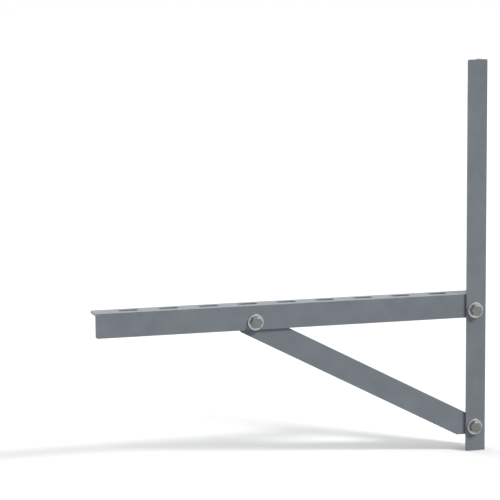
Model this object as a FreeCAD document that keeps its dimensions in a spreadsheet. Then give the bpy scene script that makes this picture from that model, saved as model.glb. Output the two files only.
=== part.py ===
"""Wall bracket for the outdoor unit of an air conditioner.

Three lengths of rolled steel angle are bolted into a rigid triangle: a post that is anchored
to the wall, an arm that carries the feet of the unit, and a diagonal brace below the arm.
Every joint is a lap joint with one bolt, so the bracket packs flat and is put together on site.

Frame, in millimetres: the wall is the plane y = 0 and the arm reaches out along -Y. The origin
lies on the line of the wall anchors, level with the face of the arm that the unit stands on.
The webs of the three angles face +X and their flanges point to -X.
"""

import FreeCAD, Part
import math
import os
import Sketcher

Vector = FreeCAD.Vector
Rotation = FreeCAD.Rotation

# Driving dimensions

SIZES = (
    ("leg_width", 30, "width of the legs of the rolled angle"),
    ("post_web", 26, "narrower leg of the post, that the joints are bolted to"),
    ("plate_thickness", 3, "thickness of the legs"),
    ("root_radius", 1.8, "fillet inside the angle"),
    ("toe_radius", 1.5, "rounding on the inner edge of each toe"),
    ("corner_radius", 2, "rounding of the sheared corners"),
    ("end_clearance", 0.5, "gap between a cut end and the fillet that it stops at"),
    ("post_length", 495, "height of the wall post"),
    ("seat_height", 201, "seat of the unit above the lower end of the post"),
    ("post_gauge", 14.5, "bolt line of the post from the wall"),
    ("arm_reach", 502, "tip of the arm from the wall"),
    ("arm_gauge", 20.5, "bolt line of the arm below the seat"),
    ("brace_reach", 303, "upper bolt of the brace from the wall"),
    ("foot_height", 31, "lower bolt of the brace above the lower end of the post"),
    ("brace_gauge", 11.2, "bolt line of the brace from its upper edge"),
    ("brace_end", 12, "square end of the brace beyond its upper bolt"),
    ("foot_margin", 9.5, "level cut of the brace below its lower bolt"),
    ("anchor_diameter", 13, "holes for the wall anchors"),
    ("anchor_gauge", 17, "line of the anchors from the heel of the post"),
    ("anchor_margin", 37, "highest anchor hole below the upper end of the post"),
    ("anchor_rise", 48, "first anchor hole above the seat"),
    ("anchor_count", 3, "anchor holes above the seat, evenly spaced"),
    ("anchor_foot", 14, "lowest anchor hole above the lower end of the post, clear of the nut"),
    ("slot_width", 11, "slots for the feet of the unit"),
    ("slot_length", 25, "length of a slot from end to end"),
    ("slot_gauge", 17, "line of the slots from the heel of the arm"),
    ("slot_margin", 44, "middle of the first slot from the tip of the arm"),
    ("slot_inset", 58, "middle of the last slot from the wall"),
    ("slot_count", 9, "number of slots, evenly spaced"),
    ("bolt_diameter", 8, "shank of the bolts"),
    ("bolt_clearance", 1, "play of a bolt in its hole, on the diameter"),
    ("bolt_length", 20, "shank below the head"),
    ("bolt_point", 1, "chamfer at the end of the shank"),
    ("head_flats", 13, "width of the bolt heads across flats"),
    ("head_height", 5.3, "height of the bolt heads"),
    ("nut_flats", 13, "width of the nuts across flats"),
    ("nut_height", 6.5, "height of the nuts"),
    ("nut_clearance", 0.1, "play between shank and nut, on the diameter"),
    ("washer_diameter", 20, "flat washer under the head"),
    ("washer_bore", 8.5, "hole of the flat washer"),
    ("washer_thickness", 2, "thickness of the flat washer"),
    ("washer_edge", 0.4, "broken edge of the flat washer"),
    ("spring_bore", 8.2, "hole of the spring washer"),
    ("spring_wire", 2.1, "square section of the spring washer"),
    ("spring_slit", 1.2, "gap in the spring washer"),
    ("spring_lean", 1, "slant of that gap from face to face"),
)

# Formulas that several features share, written in the names of the sheet

CLEAR_OF_ROOT = "(dim.plate_thickness + dim.root_radius + dim.end_clearance)"
ARM_LENGTH = f"(dim.arm_reach - {CLEAR_OF_ROOT})"
HOLE_DIAMETER = "(dim.bolt_diameter + dim.bolt_clearance)"
KNEE_DEPTH = "(dim.post_length - dim.seat_height + dim.arm_gauge)"
FOOT_DEPTH = "(dim.post_length - dim.foot_height)"
ANCHOR_PITCH = ("((dim.post_length - dim.seat_height - dim.anchor_margin - dim.anchor_rise)"
                " / (dim.anchor_count - 1))")
SLOT_PITCH = ("((dim.arm_reach - dim.slot_margin - dim.slot_inset)"
              " / (dim.slot_count - 1))")

BRACE_RUN = "(dim.brace_reach - dim.post_gauge)"
BRACE_DROP = "(dim.seat_height - dim.arm_gauge - dim.foot_height)"
BRACE_SLOPE = f"atan({BRACE_DROP} / {BRACE_RUN})"
BRACE_SPAN = f"sqrt({BRACE_RUN} ^ 2 + {BRACE_DROP} ^ 2)"
BRACE_STOCK = f"(dim.brace_end + {BRACE_SPAN} + dim.leg_width)"

# The web of the brace lies behind the arm at one end and behind the post at the other, one
# plate nearer. It leans across that step between two lines of contact: LEAVES_ARM is where
# its upper edge passes the lower edge of the arm, and FOOT_TIP is its last point on the post.
LEAVES_ARM = (f"((dim.leg_width - dim.arm_gauge + dim.brace_gauge * cos({BRACE_SLOPE}))"
              f" / sin({BRACE_SLOPE}))")
FOOT_TIP = (f"({BRACE_SPAN} + (dim.post_gauge - {CLEAR_OF_ROOT}) * cos({BRACE_SLOPE})"
            f" + dim.foot_margin * sin({BRACE_SLOPE}))")
BRACE_LEAN = f"atan(dim.plate_thickness / ({FOOT_TIP} - {LEAVES_ARM}))"

HEX_CORNER = 1 / math.sqrt(3)
CHAMFER_CIRCLE = 0.475
CHAMFER_ANGLE = "30 deg"

doc = FreeCAD.newDocument("outdoor_unit_bracket")


def write_sheet():
    """Put the driving dimensions in a sheet, one named cell each."""
    sheet = doc.addObject("Spreadsheet::Sheet", "dim")
    for row, (alias, number, meaning) in enumerate(SIZES, start=1):
        sheet.set(f"A{row}", meaning)
        sheet.set(f"B{row}", str(number))
        sheet.setAlias(f"B{row}", alias)
    doc.recompute()
    return sheet


sheet = write_sheet()


def size(formula):
    """Work out a formula in the names of the sheet; angles come out in degrees."""
    answer = sheet.evalExpression(str(formula))
    return float(getattr(answer, "Value", answer))


# Sketches and features

def new_body(label):
    body = doc.addObject("PartDesign::Body", label)
    body.Label = label
    return body


def new_sketch(body, plane):
    """Start a sketch on one of the body's own origin planes."""
    sketch = body.newObject("Sketcher::SketchObject", "Sketch")
    support = [part for part in body.Origin.OriginFeatures if part.Role == plane]
    sketch.AttachmentSupport = [(support[0], "")]
    sketch.MapMode = "FlatFace"
    return sketch


def pin(sketch, edge, end, across, along):
    """Tie one point of a sketch to two formulas of the sheet."""
    for axis, formula in (("DistanceX", across), ("DistanceY", along)):
        if formula == "0":
            axis_line = -2 if axis == "DistanceX" else -1
            sketch.addConstraint(Sketcher.Constraint("PointOnObject", edge, end, axis_line))
        else:
            limit = Sketcher.Constraint(axis, -1, 1, edge, end, size(formula))
            index = sketch.addConstraint(limit)
            sketch.setExpression(f"Constraints[{index}]", formula)


def draw_loop(sketch, corners):
    """Draw a closed outline. A corner is two formulas; two more make the centre of an arc
    that starts there, tangent to the line before it, and runs to the next corner."""
    points = [Vector(size(corner[0]), size(corner[1]), 0) for corner in corners]
    first = sketch.GeometryCount
    ends = []
    for index, corner in enumerate(corners):
        here = points[index]
        there = points[(index + 1) % len(points)]
        if len(corner) == 2:
            sketch.addGeometry(Part.LineSegment(here, there))
            ends.append((1, 2))
            continue
        centre = Vector(size(corner[2]), size(corner[3]), 0)
        turn = (here - centre).cross(there - centre).z
        if abs(turn) < 1e-6:
            turn = (here - centre).cross(here - points[index - 1]).z
        start, stop = (here, there) if turn > 0 else (there, here)
        angles = [math.atan2(spot.y - centre.y, spot.x - centre.x) for spot in (start, stop)]
        if angles[1] < angles[0]:
            angles[1] += 2 * math.pi
        circle = Part.Circle(centre, Vector(0, 0, 1), (here - centre).Length)
        sketch.addGeometry(Part.ArcOfCircle(circle, *angles))
        ends.append((1, 2) if turn > 0 else (2, 1))
    for index, corner in enumerate(corners):
        edge, before = first + index, first + (index - 1) % len(corners)
        start, stop = ends[index][0], ends[index - 1][1]
        if len(corner) == 2:
            pin(sketch, edge, start, corner[0], corner[1])
            sketch.addConstraint(Sketcher.Constraint("Coincident", before, stop, edge, start))
        else:
            pin(sketch, before, stop, corner[0], corner[1])
            sketch.addConstraint(Sketcher.Constraint("Tangent", before, stop, edge, start))


def draw_circle(sketch, across, along, diameter):
    centre = Vector(size(across), size(along), 0)
    circle = sketch.addGeometry(Part.Circle(centre, Vector(0, 0, 1), size(diameter) / 2))
    pin(sketch, circle, 3, across, along)
    index = sketch.addConstraint(Sketcher.Constraint("Diameter", circle, size(diameter)))
    sketch.setExpression(f"Constraints[{index}]", diameter)


def pad(body, sketch, length):
    feature = body.newObject("PartDesign::Pad", "Pad")
    feature.Profile = sketch
    feature.setExpression("Length", length)
    body.Tip = feature
    doc.recompute()
    return feature


def cut_through(body, sketch, side="Symmetric"):
    """Cut a sketch through the whole piece, and make sure that the piece became lighter."""
    volume = body.Shape.Volume
    feature = body.newObject("PartDesign::Pocket", "Pocket")
    feature.Profile = sketch
    feature.Type = "ThroughAll"
    feature.SideType = side
    body.Tip = feature
    doc.recompute()
    if body.Shape.Volume > volume - 1e-3:
        FreeCAD.Console.PrintWarning(f"{body.Label}: a cut took nothing away\n")
    return feature


def turn(body, kind, corners):
    """Add or cut a solid of revolution about the body's own Z axis."""
    sketch = new_sketch(body, "XZ_Plane")
    draw_loop(sketch, corners)
    feature = body.newObject(f"PartDesign::{kind}", kind)
    feature.Profile = sketch
    feature.ReferenceAxis = (sketch, ["V_Axis"])
    feature.Angle = 360
    body.Tip = feature
    doc.recompute()
    return feature


def repeat_along(body, feature, pitch, count):
    """Repeat a cut along the length of an angle."""
    pattern = body.newObject("PartDesign::LinearPattern", "LinearPattern")
    pattern.Originals = [feature]
    axis = [part for part in body.Origin.OriginFeatures if part.Role == "Z_Axis"]
    pattern.Direction = (axis[0], [""])
    pattern.Mode = "Spacing"
    pattern.setExpression("Offset", pitch)
    pattern.setExpression("Occurrences", count)
    body.Tip = pattern
    doc.recompute()
    return pattern


def seat(body, rotation, own_point, place):
    """Turn a piece, and move it so that a point of its own frame comes to a place."""
    own_point = Vector(*[size(formula) for formula in own_point])
    place = Vector(*[size(formula) for formula in place])
    body.Placement = FreeCAD.Placement(place - rotation.multVec(own_point), rotation)


# Rolled steel angle. In its own frame the heel runs along Z, the web lies on the plane
# y = 0 and reaches along +X, and the flange lies on x = 0 and reaches along +Y.

def angle_bar(label, web, length):
    body = new_body(label)
    sketch = new_sketch(body, "XY_Plane")
    flange, plate = "dim.leg_width", "dim.plate_thickness"
    inside = "dim.plate_thickness + dim.root_radius"
    toe_start = "dim.plate_thickness - dim.toe_radius"
    web_toe, flange_toe = f"{web} - dim.toe_radius", f"{flange} - dim.toe_radius"
    draw_loop(sketch, [
        ("0", "0"),
        (web, "0"),
        (web, toe_start, web_toe, toe_start),
        (web_toe, plate),
        (inside, plate, inside, inside),
        (plate, inside),
        (plate, flange_toe, toe_start, flange_toe),
        (toe_start, flange),
        ("0", flange),
    ])
    pad(body, sketch, length)
    return body


def round_corners(body, plane, edge, near_end, far_end):
    """Round the corners that the shear left on one leg, at the ends that are square."""
    inner = f"{edge} - dim.corner_radius"
    sketch = new_sketch(body, plane)
    if near_end is not None:
        rise = f"{near_end} + dim.corner_radius"
        draw_loop(sketch, [(inner, near_end), (edge, near_end), (edge, rise, inner, rise)])
    if far_end is not None:
        drop = f"{far_end} - dim.corner_radius"
        draw_loop(sketch, [(inner, far_end), (edge, far_end), (edge, drop, inner, drop)])
    cut_through(body, sketch)


def bolt_holes(body, gauge, depths):
    """Punch bolt holes in the web."""
    sketch = new_sketch(body, "XZ_Plane")
    for depth in depths:
        draw_circle(sketch, gauge, depth, HOLE_DIAMETER)
    cut_through(body, sketch)


def wall_post():
    """The post hangs down from its own origin at the top."""
    body = angle_bar("wall_post", "dim.post_web", "dim.post_length")
    round_corners(body, "XZ_Plane", "dim.post_web", "0", "dim.post_length")
    round_corners(body, "YZ_Plane", "dim.leg_width", "0", "dim.post_length")
    bolt_holes(body, "dim.post_gauge", [KNEE_DEPTH, FOOT_DEPTH])
    gauge, bore = "dim.anchor_gauge", "dim.anchor_diameter"
    lowest = new_sketch(body, "YZ_Plane")
    draw_circle(lowest, gauge, "dim.post_length - dim.anchor_foot", bore)
    cut_through(body, lowest)
    highest = new_sketch(body, "YZ_Plane")
    draw_circle(highest, gauge, "dim.anchor_margin", bore)
    punched = cut_through(body, highest)
    repeat_along(body, punched, ANCHOR_PITCH, "dim.anchor_count")
    hang = Rotation(Vector(0, -1, 0), Vector(-1, 0, 0), Vector(0, 0, -1), "XYZ")
    top = ("dim.anchor_gauge", "0", "dim.post_length - dim.seat_height")
    seat(body, hang, ("0", "0", "0"), top)
    return body


LEVEL = Rotation(Vector(0, 0, -1), Vector(-1, 0, 0), Vector(0, 1, 0), "XYZ")


def support_arm():
    """The arm runs from its tip to the wall; its flange is on top, slotted for the unit."""
    body = angle_bar("support_arm", "dim.leg_width", ARM_LENGTH)
    round_corners(body, "XZ_Plane", "dim.leg_width", "0", ARM_LENGTH)
    round_corners(body, "YZ_Plane", "dim.leg_width", "0", ARM_LENGTH)
    knee = "dim.arm_reach - dim.post_gauge"
    bolt_holes(body, "dim.arm_gauge", ["dim.arm_reach - dim.brace_reach", knee])
    slot = new_sketch(body, "YZ_Plane")
    half = "dim.slot_width / 2"
    straight = "(dim.slot_length - dim.slot_width) / 2"
    left, right = f"dim.slot_gauge - {half}", f"dim.slot_gauge + {half}"
    near, far = f"dim.slot_margin - {straight}", f"dim.slot_margin + {straight}"
    draw_loop(slot, [
        (left, near),
        (left, far, "dim.slot_gauge", far),
        (right, far),
        (right, near, "dim.slot_gauge", near),
    ])
    punched = cut_through(body, slot)
    repeat_along(body, punched, SLOT_PITCH, "dim.slot_count")
    tip = ("dim.anchor_gauge - dim.plate_thickness", "-dim.arm_reach", "0")
    seat(body, LEVEL, ("0", "0", "0"), tip)
    return body


def level_sketch(body, depth):
    """A sketch on the web of the brace, centred on a bolt and turned level: its first axis
    points down and its second one to the wall."""
    sketch = new_sketch(body, "XZ_Plane")
    sketch.setExpression("AttachmentOffset.Base.x", "dim.brace_gauge")
    sketch.setExpression("AttachmentOffset.Base.y", depth)
    sketch.setExpression("AttachmentOffset.Rotation.Angle", BRACE_SLOPE)
    return sketch


def diagonal_brace():
    """The upper end is cut square, with its top corner clipped to pass under the seat. The
    foot is cut level below its bolt and plumb in front of the wall flange of the post."""
    body = angle_bar("diagonal_brace", "dim.leg_width", BRACE_STOCK)
    beyond = "dim.leg_width * 2"
    round_corners(body, "XZ_Plane", "dim.leg_width", "0", None)
    under_seat = level_sketch(body, "dim.brace_end")
    ceiling = f"{CLEAR_OF_ROOT} - dim.arm_gauge"
    draw_loop(under_seat, [
        (f"-{beyond}", f"-{beyond}"),
        (ceiling, f"-{beyond}"),
        (ceiling, beyond),
        (f"-{beyond}", beyond),
    ])
    cut_through(body, under_seat)
    foot_bolt = f"dim.brace_end + {BRACE_SPAN}"
    at_foot = level_sketch(body, foot_bolt)
    wall_side = f"dim.post_gauge - {CLEAR_OF_ROOT}"
    draw_loop(at_foot, [
        ("dim.foot_margin", f"-{beyond}"),
        (beyond, f"-{beyond}"),
        (beyond, beyond),
        (f"-{beyond}", beyond),
        (f"-{beyond}", wall_side),
        ("dim.foot_margin", wall_side),
    ])
    cut_through(body, at_foot)
    bolt_holes(body, "dim.brace_gauge", ["dim.brace_end", foot_bolt])
    slope = Rotation(Vector(1, 0, 0), -size(BRACE_SLOPE))
    lean = Rotation(Vector(1, 0, 0), size(BRACE_LEAN))
    first_contact = ("dim.brace_gauge", "0", f"dim.brace_end + {LEAVES_ARM}")
    arm_inside = "dim.anchor_gauge - 2 * dim.plate_thickness"
    out = f"-dim.brace_reach + {LEAVES_ARM} * cos({BRACE_SLOPE})"
    down = f"-dim.arm_gauge - {LEAVES_ARM} * sin({BRACE_SLOPE})"
    seat(body, slope * LEVEL * lean, first_contact, (arm_inside, out, down))
    return body


# Fasteners. In its own frame each one stands on the plane z = 0 and points along +Z.

def hexagon(body, flats, height):
    sketch = new_sketch(body, "XY_Plane")
    middle, half, corner = f"{flats} / 2", f"{flats} * {HEX_CORNER / 2}", f"{flats} * {HEX_CORNER}"
    draw_loop(sketch, [
        (middle, f"-{half}"),
        (middle, half),
        ("0", corner),
        (f"-{middle}", half),
        (f"-{middle}", f"-{half}"),
        ("0", f"-{corner}"),
    ])
    return pad(body, sketch, height)


def chamfer_corners(body, flats, face):
    """Turn the corners of a hexagon off at its free face, as on a real bolt head or nut."""
    circle, outside = f"{flats} * {CHAMFER_CIRCLE}", f"{flats} * {HEX_CORNER * 1.05}"
    depth = f"({outside} - {circle}) * tan({CHAMFER_ANGLE})"
    turn(body, "Groove", [
        (circle, face),
        (outside, face),
        (outside, f"{face} - {depth}"),
    ])


def hex_bolt(label):
    body = new_body(label)
    hexagon(body, "dim.head_flats", "dim.head_height")
    chamfer_corners(body, "dim.head_flats", "dim.head_height")
    shank = "dim.bolt_diameter / 2"
    turn(body, "Revolution", [
        ("0", "-dim.bolt_length"),
        (f"{shank} - dim.bolt_point", "-dim.bolt_length"),
        (shank, "dim.bolt_point - dim.bolt_length"),
        (shank, "0"),
        ("0", "0"),
    ])
    return body


def hex_nut(label):
    body = new_body(label)
    hexagon(body, "dim.nut_flats", "dim.nut_height")
    chamfer_corners(body, "dim.nut_flats", "dim.nut_height")
    bore = new_sketch(body, "XY_Plane")
    draw_circle(bore, "0", "0", "dim.bolt_diameter + dim.nut_clearance")
    cut_through(body, bore)
    return body


def flat_washer(label):
    body = new_body(label)
    inside, outside = "dim.washer_bore / 2", "dim.washer_diameter / 2"
    turn(body, "Revolution", [
        (inside, "0"),
        (outside, "0"),
        (outside, "dim.washer_thickness - dim.washer_edge"),
        (f"{outside} - dim.washer_edge", "dim.washer_thickness"),
        (inside, "dim.washer_thickness"),
    ])
    return body


def spring_washer(label):
    """Clamped flat by its nut, with the slanted slit still open."""
    body = new_body(label)
    inside = "dim.spring_bore / 2"
    outside = f"{inside} + dim.spring_wire"
    turn(body, "Revolution", [
        (inside, "0"),
        (outside, "0"),
        (outside, "dim.spring_wire"),
        (inside, "dim.spring_wire"),
    ])
    slit = new_sketch(body, "XZ_Plane")
    half, lean = "dim.spring_slit / 2", "dim.spring_lean / 2"
    draw_loop(slit, [
        (f"-{half} - {lean}", "0"),
        (f"{half} - {lean}", "0"),
        (f"{half} + {lean}", "dim.spring_wire"),
        (f"{lean} - {half}", "dim.spring_wire"),
    ])
    cut_through(body, slit, "One side")
    return body


OUTWARD = Rotation(Vector(0, 1, 0), Vector(0, 0, 1), Vector(1, 0, 0), "XYZ")
INWARD = Rotation(Vector(0, -1, 0), Vector(0, 0, 1), Vector(-1, 0, 0), "XYZ")


def bolted_joint(joint, outer_face, inner_face, out, down, head_turn, nut_turn):
    """One bolt through two webs, with its washer, spring washer and nut."""
    centre = ("0", "0", "0")
    spin_head = OUTWARD * Rotation(Vector(0, 0, 1), head_turn)
    spin_nut = INWARD * Rotation(Vector(0, 0, 1), nut_turn)
    washer, bolt = flat_washer(f"{joint}_washer"), hex_bolt(f"{joint}_bolt")
    spring, nut = spring_washer(f"{joint}_spring_washer"), hex_nut(f"{joint}_nut")
    seat(washer, OUTWARD, centre, (outer_face, out, down))
    seat(bolt, spin_head, centre, (f"{outer_face} + dim.washer_thickness", out, down))
    seat(spring, spin_nut, centre, (inner_face, out, down))
    seat(nut, spin_nut, centre, (f"{inner_face} - dim.spring_wire", out, down))
    return [bolt, washer, spring, nut]


def assemble():
    pieces = [wall_post(), support_arm(), diagonal_brace()]
    post_face, plate = "dim.anchor_gauge", "dim.plate_thickness"
    at_post, at_brace = "-dim.post_gauge", "-dim.brace_reach"
    below_seat, foot = "-dim.arm_gauge", "dim.foot_height - dim.seat_height"
    # Behind the brace the spring washer rests on the highest point of the leaning web.
    rim = "(dim.spring_bore / 2 + dim.spring_wire)"
    behind = f"({plate} / cos({BRACE_LEAN}) + {rim} * tan({BRACE_LEAN}))"
    arm_gap = f"{LEAVES_ARM} * tan({BRACE_LEAN})"
    post_gap = f"({FOOT_TIP} - {BRACE_SPAN}) * tan({BRACE_LEAN})"
    pieces += bolted_joint(
        "arm_to_post", post_face, f"{post_face} - 2 * {plate}", at_post, below_seat, 20, 0)
    pieces += bolted_joint(
        "arm_to_brace", f"{post_face} - {plate}",
        f"{post_face} - 2 * {plate} - {arm_gap} - {behind}",
        at_brace, below_seat, -25, size(BRACE_SLOPE))
    pieces += bolted_joint(
        "brace_to_post", post_face, f"{post_face} - {plate} - {post_gap} - {behind}",
        at_post, foot, 8, size(BRACE_SLOPE))
    return pieces


def check(pieces):
    """Stop before anything is written if a feature failed or a piece is not one sound solid."""
    for item in doc.Objects:
        if "Invalid" in item.State or "Error" in item.State:
            raise RuntimeError(f"{item.Label} is {item.State}")
    for piece in pieces:
        shape = piece.Shape
        if shape.isNull() or not shape.isValid() or len(shape.Solids) != 1:
            raise RuntimeError(f"{piece.Label} is not one valid solid")
        print(f"{piece.Label}: {shape.Volume:.1f} cubic mm")


pieces = assemble()
doc.recompute()
check(pieces)
os.makedirs("parts", exist_ok=True)
for piece in pieces:
    piece.Shape.exportStep(f"parts/{piece.Label}.step")
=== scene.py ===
# %% [markdown]
# # A bolted wall bracket, dressed for its portrait
# The real object is a wall bracket for the outdoor unit of an air conditioner. A post, an arm
# and a diagonal brace, all cut from rolled steel angle, are bolted into a stiff triangle. This
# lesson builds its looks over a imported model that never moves: a softer, rounder version of
# each steel bar, fasteners with real threads, paint, zinc plating, light and a camera.

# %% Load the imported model
import math

import bmesh
import bpy
from mathutils import Matrix, Vector
from mathutils.bvhtree import BVHTree


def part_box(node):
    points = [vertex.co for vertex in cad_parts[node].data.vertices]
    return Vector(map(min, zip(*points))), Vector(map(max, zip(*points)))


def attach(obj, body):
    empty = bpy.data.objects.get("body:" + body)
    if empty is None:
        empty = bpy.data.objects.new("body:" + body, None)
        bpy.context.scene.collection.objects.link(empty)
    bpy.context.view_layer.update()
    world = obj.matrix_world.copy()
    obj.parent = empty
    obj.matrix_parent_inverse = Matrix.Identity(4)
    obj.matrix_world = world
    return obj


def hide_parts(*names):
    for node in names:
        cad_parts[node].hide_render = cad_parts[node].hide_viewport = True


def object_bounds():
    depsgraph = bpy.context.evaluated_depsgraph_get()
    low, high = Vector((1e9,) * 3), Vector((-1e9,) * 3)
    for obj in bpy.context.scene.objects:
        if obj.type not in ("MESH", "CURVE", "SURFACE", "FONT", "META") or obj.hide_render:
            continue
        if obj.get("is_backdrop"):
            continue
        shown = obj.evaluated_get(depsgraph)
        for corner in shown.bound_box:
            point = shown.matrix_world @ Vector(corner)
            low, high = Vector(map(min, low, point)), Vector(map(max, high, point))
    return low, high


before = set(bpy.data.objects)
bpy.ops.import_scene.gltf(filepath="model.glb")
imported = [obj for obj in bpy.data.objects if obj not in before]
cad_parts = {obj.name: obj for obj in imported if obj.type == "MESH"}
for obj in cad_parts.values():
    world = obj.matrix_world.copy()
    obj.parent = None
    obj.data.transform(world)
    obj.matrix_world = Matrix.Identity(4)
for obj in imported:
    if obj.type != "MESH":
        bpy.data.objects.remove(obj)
MM = 0.001
cad_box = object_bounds()
print("box of the packed model in mm", [[round(v / MM, 1) for v in corner] for corner in cad_box])

# %% [markdown]
# ## The camera
# A short lens draws the near end of a long object too large, and a long lens evens it out.
# The place and the angles below come from a fit of the bracket's own edges, so the bars run
# off in the picture at the same slopes as the real ones. A camera can be turned with angles,
# but three directions are plainer: what is right, what is up, and what is behind the camera.

# %% Place the camera
CAMERA_PLACE = Vector((2386.7, -1030.6, 390.4)) * MM
CAMERA_RIGHT = Vector((0.29175, 0.95647, -0.00716))
CAMERA_BACK = Vector((0.94881, -0.28845, 0.12869))
FOCAL_PIXELS = 2060.2
PICTURE_PIXELS = 500

lens = bpy.data.cameras.new("camera")
lens.sensor_width = 36
lens.lens = FOCAL_PIXELS / PICTURE_PIXELS * lens.sensor_width
lens.clip_start = 0.1
lens.clip_end = 100
camera = bpy.data.objects.new("camera", lens)
bpy.context.scene.collection.objects.link(camera)
up = CAMERA_BACK.cross(CAMERA_RIGHT)
turn = Matrix((CAMERA_RIGHT, up, CAMERA_BACK)).transposed()
camera.matrix_world = Matrix.Translation(CAMERA_PLACE) @ turn.to_4x4()
bpy.context.scene.camera = camera
print("lens in mm", round(lens.lens, 1))

# %% [markdown]
# ## Tools for nodes
# The light, the finishes and the shapes of this lesson are all trees of nodes. Adding each
# node with lines of its own would hide what a tree does, so two short helpers do it: one adds
# a node with its settings and its links, the other adds a node that works out a number.

# %% Add nodes to a tree
def step(tree, kind, sockets=None, **settings):
    """One node. Its sockets take plain values, or outputs of earlier nodes as links."""
    made = tree.nodes.new(kind)
    for name, value in settings.items():
        setattr(made, name, value)
    for name, value in (sockets or {}).items():
        for one in value if isinstance(value, list) else [value]:
            if isinstance(one, bpy.types.NodeSocket):
                tree.links.new(one, made.inputs[name])
            else:
                made.inputs[name].default_value = one
    return made.outputs


def reckon(tree, operation, first, second):
    return step(tree, "ShaderNodeMath", {0: first, 1: second}, operation=operation)[0]


# %% [markdown]
# ## The light
# Steel bars need a light that tells their faces apart: the level top brightest, the upright
# faces a middle tone, the ends a little darker. A sun lamp lights near and far alike, so the
# pale floor stays even to its edge. One very wide sun overhead stands for the soft boxes on
# the ceiling of a studio. A narrower one from the right draws the small shadows beside the
# washers, and a weak one from behind keeps the backs of the bars out of the dark. The sky
# adds a plain fill. Rays from the camera, and rays that mirror off paint or zinc, find it
# white.

# %% Light the set
SKY_FILL = (0.97, 0.985, 1, 1)
WHITE = (1, 1, 1, 1)


def seen_or_mirrored(tree):
    """A mask: 1 for rays that the camera or a mirror looks along, 0 for light on its way."""
    rays = step(tree, "ShaderNodeLightPath")
    mirrored = reckon(tree, "MAXIMUM", rays["Is Glossy Ray"], rays["Is Transmission Ray"])
    return reckon(tree, "MAXIMUM", rays["Is Camera Ray"], mirrored)


world = bpy.data.worlds.new("studio sky")
bpy.context.scene.world = world
world.use_nodes = True
sky = world.node_tree
sky.nodes.clear()
fill = step(sky, "ShaderNodeBackground", {"Color": SKY_FILL, "Strength": 0.26})[0]
white = step(sky, "ShaderNodeBackground", {"Color": WHITE, "Strength": 1})[0]
blend = step(sky, "ShaderNodeMixShader", {"Fac": seen_or_mirrored(sky), 1: fill, 2: white})[0]
step(sky, "ShaderNodeOutputWorld", {"Surface": blend})
print("sky:", len(sky.nodes), "nodes")


def sun(name, direction, strength, width):
    """A sun that shines from a direction; its width in degrees softens the shadows."""
    lamp = bpy.data.lights.new(name, "SUN")
    lamp.energy = strength
    lamp.angle = math.radians(width)
    holder = bpy.data.objects.new(name, lamp)
    bpy.context.scene.collection.objects.link(holder)
    holder.rotation_euler = Vector(direction).to_track_quat("Z", "Y").to_euler()
    print(f"{name} sun: strength {strength}, {width} degrees wide")


sun("ceiling", direction=(0.12, 0.10, 0.98), strength=0.95, width=80)
sun("side", direction=(0.55, 0.50, 0.67), strength=1.8, width=12)
sun("behind", direction=(-0.60, -0.50, 0.62), strength=1.2, width=60)
bpy.context.scene.view_settings.view_transform = "Standard"

# %% [markdown]
# ## Trees that make pieces
# Every bar, bolt and washer below is made by a Geometry Nodes tree, because each follows a
# rule: an outline pushed along a length, a punch repeated at a pitch, a ridge wound round a
# shank. Sizes go in as named inputs, in millimetres. One helper starts such a tree, and one
# puts three numbers together into a point.

# %% Start a tree
def start_tree(name, sizes):
    """A tree with a geometry input, then one input for each named size."""
    tree = bpy.data.node_groups.new(name, "GeometryNodeTree")
    tree.interface.new_socket("Outline", in_out="INPUT", socket_type="NodeSocketGeometry")
    for size, value in sizes.items():
        kind = {int: "Int", float: "Float", str: "Object"}[type(value)]
        socket = tree.interface.new_socket(
            size, in_out="INPUT", socket_type=f"NodeSocket{kind}")
        if kind != "Object":
            socket.default_value = value
    tree.interface.new_socket("Finish", in_out="INPUT", socket_type="NodeSocketMaterial")
    tree.interface.new_socket("Piece", in_out="OUTPUT", socket_type="NodeSocketGeometry")
    return tree, tree.nodes.new("NodeGroupInput").outputs


def point(tree, x, y, z):
    return step(tree, "ShaderNodeCombineXYZ", {"X": x, "Y": y, "Z": z})[0]


# %% [markdown]
# ## Tools for solids
# A saw and a press work on solid steel, so the trees do too. A flat face is pushed up into a
# block, and cutters are taken from it with a boolean. The exact solver is slower than the
# fast one, but it copes with cutters that only touch a face.

# %% Push up a solid and cut it
def solid_from(tree, face, height):
    """Push a flat face up by a height, and close the solid with the face itself."""
    pushed = step(tree, "GeometryNodeExtrudeMesh", {
        "Mesh": face, "Offset": (0, 0, 1), "Offset Scale": height, "Individual": False})
    base = step(tree, "GeometryNodeFlipFaces", {"Mesh": face})
    both = step(tree, "GeometryNodeJoinGeometry", {"Geometry": [pushed["Mesh"], base["Mesh"]]})
    return step(tree, "GeometryNodeMergeByDistance", {"Geometry": both[0], "Distance": 0.01})[0]


def cut(tree, solid, cutters, operation="DIFFERENCE"):
    """Take cutters from a solid, or keep only what they share."""
    sockets = {"Mesh 1": solid, "Mesh 2": cutters}
    if operation != "DIFFERENCE":
        sockets = {"Mesh 2": [solid, *cutters]}
    return step(tree, "GeometryNodeMeshBoolean", sockets,
                operation=operation, solver="EXACT")["Mesh"]


# %% [markdown]
# ## Tools for edges
# Nothing that is sheared, punched or forged keeps a razor edge, and the bright line that runs
# along a slightly rounded edge is what makes steel look like steel. A tree marks the edges to
# be rounded with a bevel weight, and a Bevel modifier rounds them. Threads and turned ends are
# too fine for that, and a bevel would only crumple them, so there the edges stay hard.

# %% Mark soft and hard edges
def edges_above(tree, crease):
    """The edges where the surface turns by more than the crease angle, in degrees."""
    angle = step(tree, "GeometryNodeInputMeshEdgeAngle")["Unsigned Angle"]
    return step(tree, "FunctionNodeCompare", {"A": angle, "B": math.radians(crease)},
                operation="GREATER_THAN")[0]


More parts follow.
